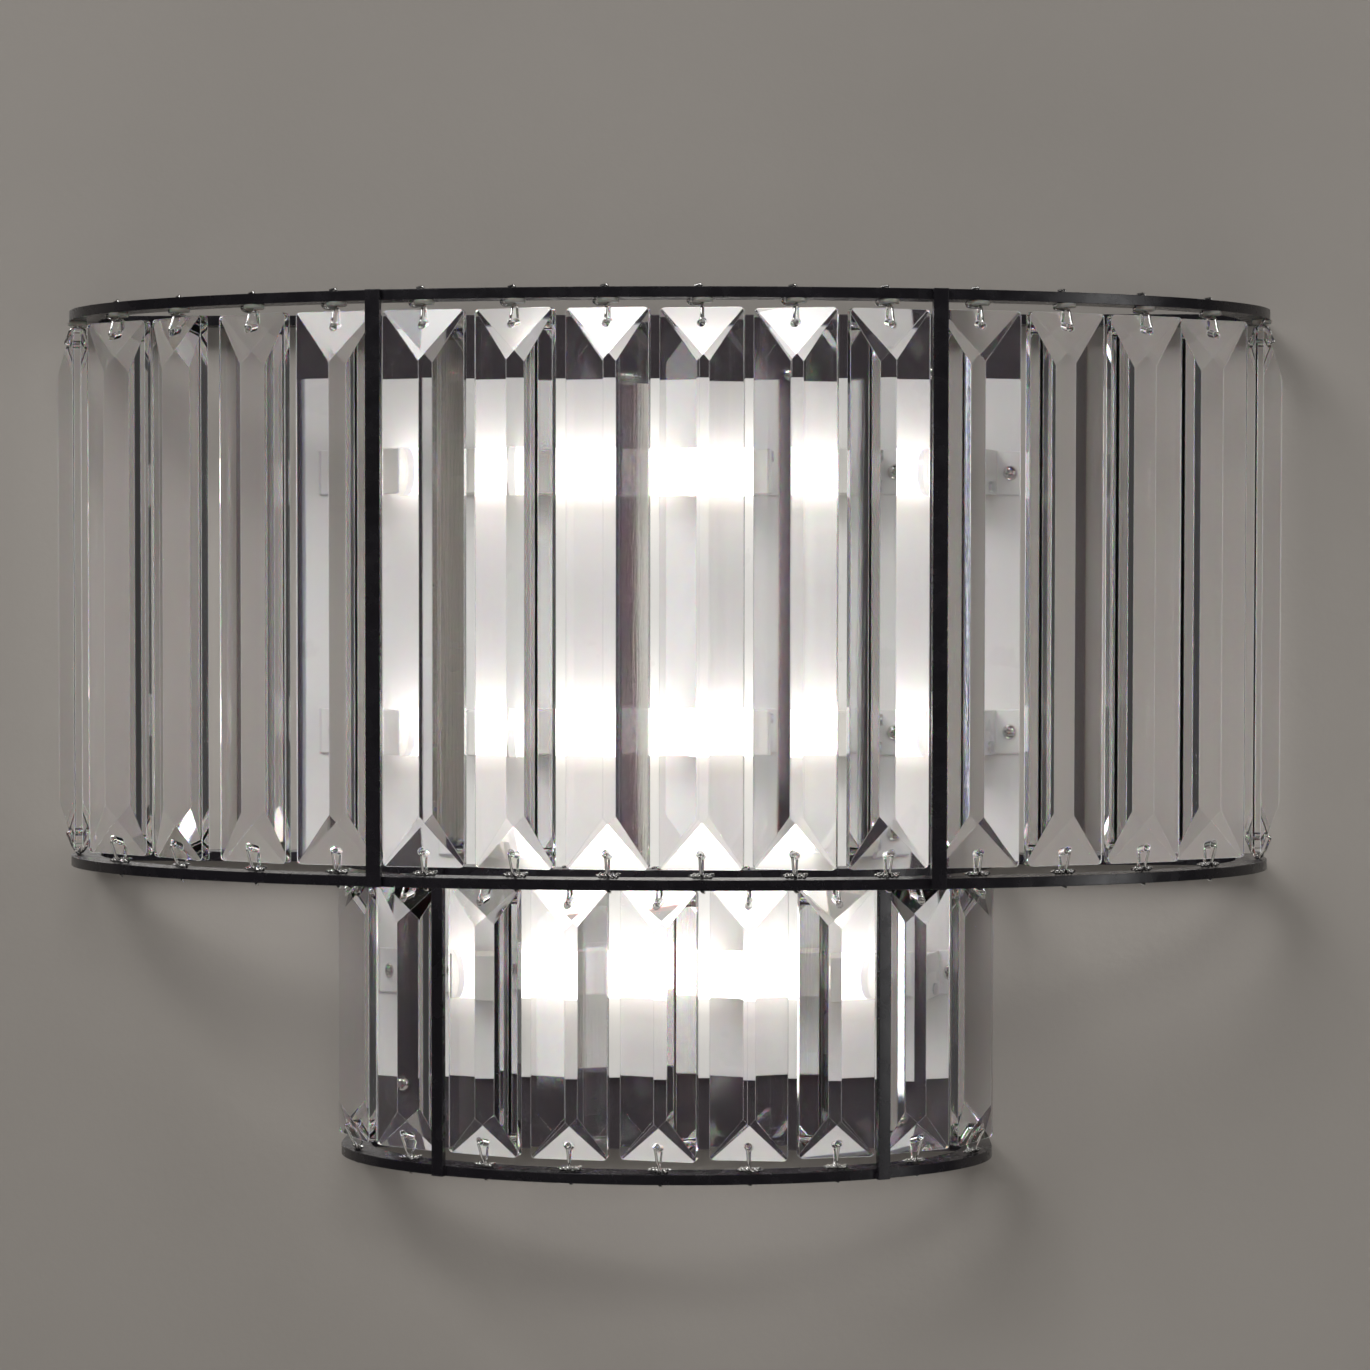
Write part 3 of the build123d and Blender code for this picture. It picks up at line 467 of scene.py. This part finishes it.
def set_at(piece, places, finish, seed, tip=0.0, lean=0.0, spin=0.0, twist=0.0):
    """Mesh of a piece set at each ((x, y, z), turn) place, its angles in degrees; the piece is used up."""
    points = bpy.data.meshes.new("places")
    points.from_pydata([place for place, _ in places], [], [])
    turns = points.attributes.new("turn", "FLOAT", "POINT")
    turns.data.foreach_set("value", [turn for _, turn in places])
    marks = shown_mesh("places", points)
    mesh = grown(
        piece.name,
        SET_AT_PLACES,
        {
            "Places": marks, "Piece": piece, "Tip": math.radians(tip), "Lean": math.radians(lean),
            "Spin": math.radians(spin), "Twist": math.radians(twist), "Seed": seed, "Material": finish,
        },
    )
    bpy.data.objects.remove(marks)
    bpy.data.objects.remove(piece)
    return mesh


def stand_in(name, meshes, finish, node):
    """One object made of several meshes, shown on the frame in place of a carried-over node."""
    whole = bmesh.new()
    for mesh in meshes:
        whole.from_mesh(mesh)
    mesh = bpy.data.meshes.new(name)
    whole.to_mesh(mesh)
    whole.free()
    mesh.materials.append(finish)
    for face in mesh.polygons:
        face.material_index = 0
    piece = shown_mesh(name, mesh)
    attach(piece, "frame")
    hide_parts(node)


for name, node, spots, seat_y, tip_y, seed in (
    ("plate_screw_set", "plate_screws", PLATE_SCREWS, PLATE_FRONT, PLATE_SCREW_TIP, 3),
    ("foot_screw_set", "bracket_screws", FOOT_SCREWS, FOOT_FRONT, FOOT_SCREW_TIP, 8),
):
    screw_places = [((x * MM, seat_y * MM, level * MM), 0.0) for x, level in spots]
    screw = recessed_screw(name, tip_y - seat_y)
    driven = set_at(screw, screw_places, nickel_plate, seed, tip=90, spin=180)
    stand_in(name, [driven], nickel_plate, node)


# Holder rivets. Plain aluminium rivets through the brackets into the ceramic, bright when they were set and
# since dulled in patches.
RIVET_BRIGHT = (0.74, 0.74, 0.75)
RIVET_DULL = (0.62, 0.62, 0.63)
RIVET_EDGE = (0.85, 0.85, 0.86)

rivet_metal = hard_finish(
    "rivet_metal", RIVET_BRIGHT, RIVET_DULL, RIVET_EDGE,
    edge_radius=0.0003, metal=1.0, rough=(0.30, 0.45), grain=1200.0, grain_depth=0.00003, patch=250.0,
)
dress(rivet_metal, "holder_rivets")


# Contacts and earth screw. Turned brass, dulled in patches and bright on the edges. The fixed contacts sit in
# the holders on the left, and the sprung pins slide in those on the right.
LAMPS = ("upper", "middle", "lower")
BRASS = (0.68, 0.50, 0.22)
BRASS_DULL = (0.50, 0.36, 0.15)
BRASS_EDGE = (0.85, 0.68, 0.36)

turned_brass = hard_finish(
    "turned_brass", BRASS, BRASS_DULL, BRASS_EDGE,
    edge_radius=0.0002, metal=1.0, rough=(0.18, 0.38), grain=1800.0, grain_depth=0.00002, patch=400.0,
)
dress(turned_brass, "fixed_contacts", "earth_screw", *(f"{lamp}_lamp_pin" for lamp in LAMPS))


# Contact springs. Coils of drawn spring steel, slightly blued by the winding, each between a sprung contact's
# flange and its holder, and carried fixed on the frame.
SPRING_GREY = (0.46, 0.46, 0.47)
SPRING_BLUED = (0.33, 0.34, 0.38)
SPRING_EDGE = (0.6, 0.6, 0.6)

spring_steel = hard_finish(
    "spring_steel", SPRING_GREY, SPRING_BLUED, SPRING_EDGE,
    edge_radius=0.0001, metal=1.0, rough=(0.22, 0.40), grain=2500.0, grain_depth=0.00001, patch=500.0,
)
for lamp in LAMPS:
    coil = bmesh.new()
    coil.from_mesh(frame["nodes"][f"{lamp}_lamp_spring"].data)
    bmesh.ops.remove_doubles(coil, verts=coil.verts, dist=0.001 * MM)
    coil_mesh = bpy.data.meshes.new(f"{lamp}_contact_coil")
    coil.to_mesh(coil_mesh)
    coil.free()
    coil_mesh.materials.clear()
    coil_mesh.materials.append(spring_steel)
    contact_coil = shown_mesh(f"{lamp}_contact_coil", coil_mesh)
    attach(contact_coil, "frame")
    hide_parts(f"{lamp}_lamp_spring")
    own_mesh(contact_coil)


# Lamp holders. Pressed steatite blocks with moulded cups, unglazed, with faint brown heat marks, each
# riveted to its sheet bracket.
STEATITE = (0.84, 0.82, 0.78)
STEATITE_TOASTED = (0.74, 0.70, 0.63)
STEATITE_EDGE = (0.88, 0.87, 0.84)

steatite = hard_finish(
    "steatite", STEATITE, STEATITE_TOASTED, STEATITE_EDGE,
    edge_radius=0.0007, metal=0.0, rough=(0.45, 0.65), grain=800.0, grain_depth=0.00008, patch=45.0,
)
dress(steatite, "fixed_holders", "sprung_holders")


# Lamps. Each is a sealed tube of frosted glass that glows evenly, with thin glazed ceramic end caps that
# some of the light shines through, cemented on, and a narrow contact neck at each end.
LAMP_GLOW = (1.0, 0.965, 0.915)
LAMP_STRENGTH = 2.4
FROSTED_WHITE = (0.9, 0.89, 0.87)
CAP_WHITE = (0.87, 0.86, 0.83)
CAP_AGED = (0.80, 0.785, 0.75)
CAP_EDGE = (0.9, 0.89, 0.87)
CAP_GLOW = 0.55

lamp_frost = bpy.data.materials.new("lamp_frost")
lamp_frost.use_nodes = True
tree = lamp_frost.node_tree
skin = tree.nodes["Principled BSDF"]
skin.inputs["Base Color"].default_value = (*FROSTED_WHITE, 1)
skin.inputs["Emission Color"].default_value = (*LAMP_GLOW, 1)
skin.inputs["Emission Strength"].default_value = LAMP_STRENGTH
tree.links.new(spread(tree, object_noise(tree, 600.0), 0.30, 0.45), skin.inputs["Roughness"])
frost_bump = node_in(tree, "ShaderNodeBump", Strength=0.3, Distance=0.00002)
tree.links.new(object_noise(tree, 3000.0), frost_bump.inputs["Height"])
tree.links.new(frost_bump.outputs["Normal"], skin.inputs["Normal"])
dress(lamp_frost, *(f"{lamp}_lamp_tube" for lamp in LAMPS))

cap_glaze = hard_finish(
    "cap_glaze", CAP_WHITE, CAP_AGED, CAP_EDGE,
    edge_radius=0.0005, metal=0.0, rough=(0.15, 0.30), grain=700.0, grain_depth=0.00003, patch=60.0, coat=0.4,
)
skin = cap_glaze.node_tree.nodes["Principled BSDF"]
skin.inputs["Emission Color"].default_value = (*LAMP_GLOW, 1)
skin.inputs["Emission Strength"].default_value = CAP_GLOW
dress(cap_glaze, *(f"{lamp}_lamp_caps" for lamp in LAMPS))


# Terminal block, lamp leads and earth lead, all behind the panel. The block is moulded plastic in its natural
# colour; the leads are wires in braided glass-fibre sleeves, white for the lamps, green and yellow for earth.
BLOCK_PLASTIC = (0.78, 0.77, 0.73)
BLOCK_SHADE = (0.72, 0.71, 0.66)
BLOCK_EDGE = (0.82, 0.81, 0.78)
SLEEVE_WHITE = ((0.84, 0.82, 0.77), (0.72, 0.70, 0.64))
SLEEVE_EARTH = ((0.20, 0.42, 0.10), (0.62, 0.58, 0.10))

block_plastic = hard_finish(
    "block_plastic", BLOCK_PLASTIC, BLOCK_SHADE, BLOCK_EDGE,
    edge_radius=0.0005, metal=0.0, rough=(0.40, 0.55), grain=900.0, grain_depth=0.00005, patch=80.0,
)
dress(block_plastic, "terminal_block")


def braided_sleeve(name, colour, second):
    """Glass-fibre sleeve: fine crossing threads over a wire."""
    finish = bpy.data.materials.new(name)
    finish.use_nodes = True
    tree = finish.node_tree
    skin = tree.nodes["Principled BSDF"]
    weave = node_in(tree, "ShaderNodeTexWave", Scale=900.0, Distortion=1.5, Detail=2.0)
    place = tree.nodes.new("ShaderNodeTexCoord")
    tree.links.new(place.outputs["Object"], weave.inputs["Vector"])
    tree.links.new(between(tree, weave.outputs["Fac"], colour, second), skin.inputs["Base Color"])
    tree.links.new(spread(tree, object_noise(tree, 500.0), 0.55, 0.75), skin.inputs["Roughness"])
    bump = node_in(tree, "ShaderNodeBump", Strength=0.6, Distance=0.00008)
    tree.links.new(weave.outputs["Fac"], bump.inputs["Height"])
    tree.links.new(bump.outputs["Normal"], skin.inputs["Normal"])
    return finish


dress(braided_sleeve("lead_sleeve", *SLEEVE_WHITE), "lamp_leads")
dress(braided_sleeve("earth_sleeve", *SLEEVE_EARTH), "earth_lead")


# Prisms. Long six-sided bars of clear lead glass, ground with a ridge on both faces, bevelled to a thin
# edge at each end and polished; the arrises are eased and left ground, and the faces carry light wiping
# scratches. A small share of the light is split into its colours.
GLASS_INDEX = 1.52
GLASS_TINT = (0.985, 0.99, 0.99)
GROUND_TINT = (0.95, 0.96, 0.96)
SHADOW_TINT = (0.9, 0.9, 0.9)
GLASS_ARRIS = 0.0004
GROUND_EDGE = 0.8
SPLIT_SHARE = 0.06
SPLIT_LIGHT = (((1, 0, 0), 1.505), ((0, 1, 0), 1.520), ((0, 0, 1), 1.538))
PRISM_COUNTS = {"upper": 16, "lower": 9}

prism_glass = bpy.data.materials.new("prism_glass")
prism_glass.use_nodes = True
tree = prism_glass.node_tree
skin = tree.nodes["Principled BSDF"]
skin.inputs["Transmission Weight"].default_value = 1.0
skin.inputs["IOR"].default_value = GLASS_INDEX
skin.inputs["Base Color"].default_value = (*GLASS_TINT, 1)
scratches = node_in(tree, "ShaderNodeTexNoise", Scale=60.0, Detail=8.0, Roughness=0.7, Distortion=0.4)
stretch = node_in(tree, "ShaderNodeMapping", Scale=(14.0, 14.0, 0.6))
place = tree.nodes.new("ShaderNodeTexCoord")
tree.links.new(place.outputs["Object"], stretch.inputs["Vector"])
tree.links.new(stretch.outputs["Vector"], scratches.inputs["Vector"])
smear = node_in(tree, "ShaderNodeMapRange", From_Min=0.45, From_Max=0.8, To_Min=0.0, To_Max=0.05)
tree.links.new(scratches.outputs["Fac"], smear.inputs["Value"])
tree.links.new(smear.outputs["Result"], skin.inputs["Roughness"])
arris = tree.nodes.new("ShaderNodeBevel")
arris.samples = 6
arris.inputs["Radius"].default_value = GLASS_ARRIS
waver = node_in(tree, "ShaderNodeBump", Strength=0.12, Distance=0.00003)
tree.links.new(scratches.outputs["Fac"], waver.inputs["Height"])
tree.links.new(arris.outputs["Normal"], waver.inputs["Normal"])
tree.links.new(waver.outputs["Normal"], skin.inputs["Normal"])
spectrum = []
for colour, index in SPLIT_LIGHT:
    band = tree.nodes.new("ShaderNodeBsdfGlass")
    band.inputs["Color"].default_value = (*colour, 1)
    band.inputs["IOR"].default_value = index
    band.inputs["Roughness"].default_value = 0.0
    spectrum.append(band.outputs["BSDF"])
while len(spectrum) > 1:
    sum_of = tree.nodes.new("ShaderNodeAddShader")
    tree.links.new(spectrum.pop(), sum_of.inputs[0])
    tree.links.new(spectrum.pop(), sum_of.inputs[1])
    spectrum.append(sum_of.outputs["Shader"])
split = tree.nodes.new("ShaderNodeMixShader")
split.inputs["Fac"].default_value = SPLIT_SHARE
tree.links.new(skin.outputs["BSDF"], split.inputs[1])
tree.links.new(spectrum.pop(), split.inputs[2])
face_normal = tree.nodes.new("ShaderNodeNewGeometry")
facing = tree.nodes.new("ShaderNodeVectorMath")
facing.operation = "DOT_PRODUCT"
tree.links.new(arris.outputs["Normal"], facing.inputs[0])
tree.links.new(face_normal.outputs["Normal"], facing.inputs[1])
ground = node_in(tree, "ShaderNodeMapRange", From_Min=0.995, From_Max=0.85, To_Min=0.0, To_Max=GROUND_EDGE)
tree.links.new(facing.outputs["Value"], ground.inputs["Value"])
frosted = node_in(tree, "ShaderNodeBsdfTranslucent", Color=(*GROUND_TINT, 1))
edged = tree.nodes.new("ShaderNodeMixShader")
tree.links.new(ground.outputs["Result"], edged.inputs["Fac"])
tree.links.new(split.outputs["Shader"], edged.inputs[1])
tree.links.new(frosted.outputs["BSDF"], edged.inputs[2])
lets_lamps_by = tree.nodes.new("ShaderNodeBsdfTransparent")
lets_lamps_by.inputs["Color"].default_value = (*SHADOW_TINT, 1)
ray = tree.nodes.new("ShaderNodeLightPath")
for_shadows = tree.nodes.new("ShaderNodeMixShader")
tree.links.new(ray.outputs["Is Shadow Ray"], for_shadows.inputs["Fac"])
tree.links.new(edged.outputs["Shader"], for_shadows.inputs[1])
tree.links.new(lets_lamps_by.outputs["BSDF"], for_shadows.inputs[2])
tree.links.new(for_shadows.outputs["Shader"], tree.nodes["Material Output"].inputs["Surface"])
for tier, count in PRISM_COUNTS.items():
    for number in range(1, count + 1):
        dress(prism_glass, f"{tier}_prism_{number:02d}")


# Spacers. Soft clear-white washers threaded on each hook under the ring, to keep glass off metal; each
# is turned at random about its wire.
WASHER_CREAM = (0.88, 0.86, 0.80)
WASHER_AGED = (0.78, 0.76, 0.69)
SPACER_EDGE = (
    (0.70, -0.10), (0.85, 0.0), (2.95, 0.0), (3.15, -0.10), (3.25, -0.35), (3.25, -1.05), (3.15, -1.30),
    (2.95, -1.40), (0.85, -1.40), (0.70, -1.30), (0.70, -0.10),
)

soft_washer = bpy.data.materials.new("soft_washer")
soft_washer.use_nodes = True
tree = soft_washer.node_tree
skin = tree.nodes["Principled BSDF"]
skin.inputs["Subsurface Weight"].default_value = 0.4
skin.inputs["Subsurface Scale"].default_value = 0.002
skin.inputs["Transmission Weight"].default_value = 0.75
washer_tone = between(tree, object_noise(tree, 250.0), WASHER_CREAM, WASHER_AGED)
tree.links.new(washer_tone, skin.inputs["Base Color"])
tree.links.new(spread(tree, object_noise(tree, 500.0), 0.35, 0.5), skin.inputs["Roughness"])
washer_bump = node_in(tree, "ShaderNodeBump", Strength=0.3, Distance=0.00005)
tree.links.new(object_noise(tree, 900.0), washer_bump.inputs["Height"])
tree.links.new(washer_bump.outputs["Normal"], skin.inputs["Normal"])


def hanging_line(node_name):
    """Plan place of the line a prism hangs on, and the angle its broad side makes with the wall."""
    line = Vector(next(joint["pos_m"] for joint in frame["joints"] if joint["child"] == node_name))
    around = [corner.co - line for corner in frame["nodes"][node_name].data.vertices]
    slant = 2 * sum(place.x * place.y for place in around)
    breadth = sum(place.x**2 - place.y**2 for place in around)
    return line.x, line.y, math.atan2(slant, breadth) / 2


def along_row(tier, level):
    """Hanging places of one tier at a level."""
    lines = [hanging_line(f"{tier}_prism_{number:02d}") for number in range(1, PRISM_COUNTS[tier] + 1)]
    return [((x, y, level), turn) for x, y, turn in lines]


washers = []
for seed, tier in enumerate(PRISM_COUNTS):
    under_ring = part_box(f"{tier}_top_ring")[0].z
    washer = turned("washer", SPACER_EDGE)
    washers.append(set_at(washer, along_row(tier, under_ring), soft_washer, seed, twist=180))
stand_in("spacer_set", washers, soft_washer, "hook_spacers")


# Hooks and ties. Bright tinned wire, bent by hand. Each hook's loop runs through a prism's top hole, and its
# ends are bent over the top ring and out under it. Each tie's loop runs through the bottom hole and ends in a
# twisted knot, with a tail through the bottom ring.
WIRE_RADIUS = 0.45
WIRE_SIDES = 10
EYE_CLEARANCE = 0.45
RIDGE_DEPTH = 7.0
EDGE_DEPTH = 1.4
HOLE_FROM_END = 5.0
HOOK_GAP = 3.0
RING_THICKNESS = 3.3
BEVELS = {"upper": 16.3, "lower": 12.8}
TIE_GAPS = {"upper": 3.1, "lower": 4.2}
KNOT_HALF = 3.0
KNOT_TURNS = 2.25
KNOT_RADIUS = 0.5
KNOT_HEIGHT = 1.05
KNOT_STEPS = 18
WIRE_BRIGHT = (0.78, 0.77, 0.75)
WIRE_SHADE = (0.62, 0.61, 0.59)
WIRE_EDGE = (0.88, 0.88, 0.87)

bright_wire = hard_finish(
    "bright_wire", WIRE_BRIGHT, WIRE_SHADE, WIRE_EDGE,
    edge_radius=0.0001, metal=1.0, rough=(0.08, 0.20), grain=2200.0, grain_depth=0.00001, patch=500.0,
)


def wire_group():
    """Round wire of a given radius along every run of a path, eased through its points."""
    group, inlet, outlet = new_group(
        "wire", (("Path", "NodeSocketObject"), ("Radius", "NodeSocketFloat"), ("Sides", "NodeSocketInt"))
    )
    path = group.nodes.new("GeometryNodeObjectInfo")
    eased = group.nodes.new("GeometryNodeCurveSplineType")
    eased.spline_type = "CATMULL_ROM"
    fine = group.nodes.new("GeometryNodeSetSplineResolution")
    fine.inputs["Resolution"].default_value = 5
    section = group.nodes.new("GeometryNodeCurvePrimitiveCircle")
    drawn = group.nodes.new("GeometryNodeCurveToMesh")
    drawn.inputs["Fill Caps"].default_value = True
    smooth = group.nodes.new("GeometryNodeSetShadeSmooth")
    link = group.links.new
    link(inlet.outputs["Path"], path.inputs["Object"])
    link(inlet.outputs["Radius"], section.inputs["Radius"])
    link(inlet.outputs["Sides"], section.inputs["Resolution"])
    link(path.outputs["Geometry"], eased.inputs["Curve"])
    link(eased.outputs[0], fine.inputs["Geometry"])
    link(fine.outputs[0], drawn.inputs["Curve"])
    link(section.outputs["Curve"], drawn.inputs["Profile Curve"])
    link(drawn.outputs[0], smooth.inputs["Geometry"])
    link(smooth.outputs[0], outlet.inputs[0])
    return group


WIRE = wire_group()


def bent_wire(name, runs):
    """Wire object through lists of points in mm."""
    data = bpy.data.curves.new(name, "CURVE")
    data.dimensions = "3D"
    for points in runs:
        run = data.splines.new("POLY")
        run.points.add(len(points) - 1)
        for point, place in zip(run.points, points):
            point.co = (*(MM * value for value in place), 1)
    path = bpy.data.objects.new(name, data)
    bpy.context.scene.collection.objects.link(path)
    mesh = grown(name, WIRE, {"Path": path, "Radius": WIRE_RADIUS * MM, "Sides": WIRE_SIDES})
    bpy.data.objects.remove(path)
    return shown_mesh(name, mesh)


def eye(bevel, end, away):
    """Points of a loop round a prism's end and through its hole, front leg first; away is 1 at its top."""
    inside = -away
    at_hole = EDGE_DEPTH + (RIDGE_DEPTH - EDGE_DEPTH) * HOLE_FROM_END / bevel
    reach = at_hole + WIRE_RADIUS + EYE_CLEARANCE
    shoulder = EDGE_DEPTH + WIRE_RADIUS + EYE_CLEARANCE
    front = [
        (0.0, -shoulder, end - 0.3 * inside),
        (0.0, -(shoulder + reach) / 2 - 0.1, end + 0.45 * HOLE_FROM_END * inside),
        (0.0, -reach, end + (HOLE_FROM_END - 0.95) * inside),
        (0.0, 0.6 - reach, end + (HOLE_FROM_END - 0.3) * inside),
    ]
    middle = [(0.0, 0.0, end + (HOLE_FROM_END - 0.25) * inside)]
    back = [(x, -y, z) for x, y, z in reversed(front)]
    return front + middle + back


def hook_runs(bevel):
    """A hook about the ring's underside: over the ring, down, through the glass, back up and out sideways."""
    over_ring = RING_THICKNESS + WIRE_RADIUS + 0.05
    down = [
        (-2.5, 0.5, over_ring), (-1.4, 0.25, over_ring + 0.25), (-0.4, 0.0, over_ring + 0.3),
        (0.0, 0.0, RING_THICKNESS - 0.3), (0.0, 0.0, 0.0), (0.0, -0.1, -1.4), (0.0, -0.9, -2.05),
    ]
    out = [
        (-0.1, 1.0, -2.05), (-0.9, 0.75, -1.95), (-2.3, 0.3, -1.95), (-3.6, 0.1, -1.85),
        (-4.4, -0.3, -1.35), (-4.4, -0.9, -0.8), (-3.9, -1.2, -0.6),
    ]
    return [down + eye(bevel, -HOOK_GAP, 1) + out]


def tie_runs(bevel, gap):
    """A tie about the ring's top: two legs from a loop through the glass, and a tail through the ring."""
    legs = [(1.5, -0.3, 0.55), (0.7, -0.8, 0.85), (0.15, -1.5, gap - 1.5)]
    ends = [(-x, -y, z) for x, y, z in reversed(legs)]
    under = -RING_THICKNESS
    tail = [
        (0.0, 0.0, 0.8), (0.0, 0.0, -0.6), (0.0, 0.0, under), (0.1, -0.1, under - 0.4),
        (0.5, -0.3, under - 0.7), (1.1, -0.4, under - 0.7),
    ]
    return [legs + eye(bevel, gap, -1) + ends, tail]


def knot_runs():
    """Two wire ends wound round each other along the ring, their cut tips sticking out."""
    runs = []
    for side in (0, 1):
        wound = []
        for step in range(KNOT_STEPS + 1):
            share = step / KNOT_STEPS
            angle = math.tau * KNOT_TURNS * share + math.pi * side
            along = KNOT_HALF * (2 * share - 1)
            wound.append((along, KNOT_RADIUS * math.cos(angle), KNOT_HEIGHT + KNOT_RADIUS * math.sin(angle)))
        tip = (KNOT_HALF + 0.7, 0.9 - 1.8 * side, 1.5)
        start = (-KNOT_HALF - 0.6, 1.8 * side - 0.9, 1.0)
        runs.append([start] + wound + [tip])
    return runs


hooks = []
ties = []
for seed, (tier, bevel) in enumerate(BEVELS.items()):
    under_top = along_row(tier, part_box(f"{tier}_top_ring")[0].z)
    over_bottom = along_row(tier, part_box(f"{tier}_bottom_ring")[1].z)
    hooks.append(set_at(bent_wire("hook", hook_runs(bevel)), under_top, bright_wire, seed, lean=1, twist=2.5))
    loop = bent_wire("tie", tie_runs(bevel, TIE_GAPS[tier]))
    ties.append(set_at(loop, over_bottom, bright_wire, seed + 10, lean=1, twist=2.5))
    ties.append(set_at(bent_wire("knot", knot_runs()), over_bottom, bright_wire, seed + 20, twist=18))
stand_in("hook_set", hooks, bright_wire, "top_hooks")
stand_in("tie_set", ties, bright_wire, "bottom_ties")
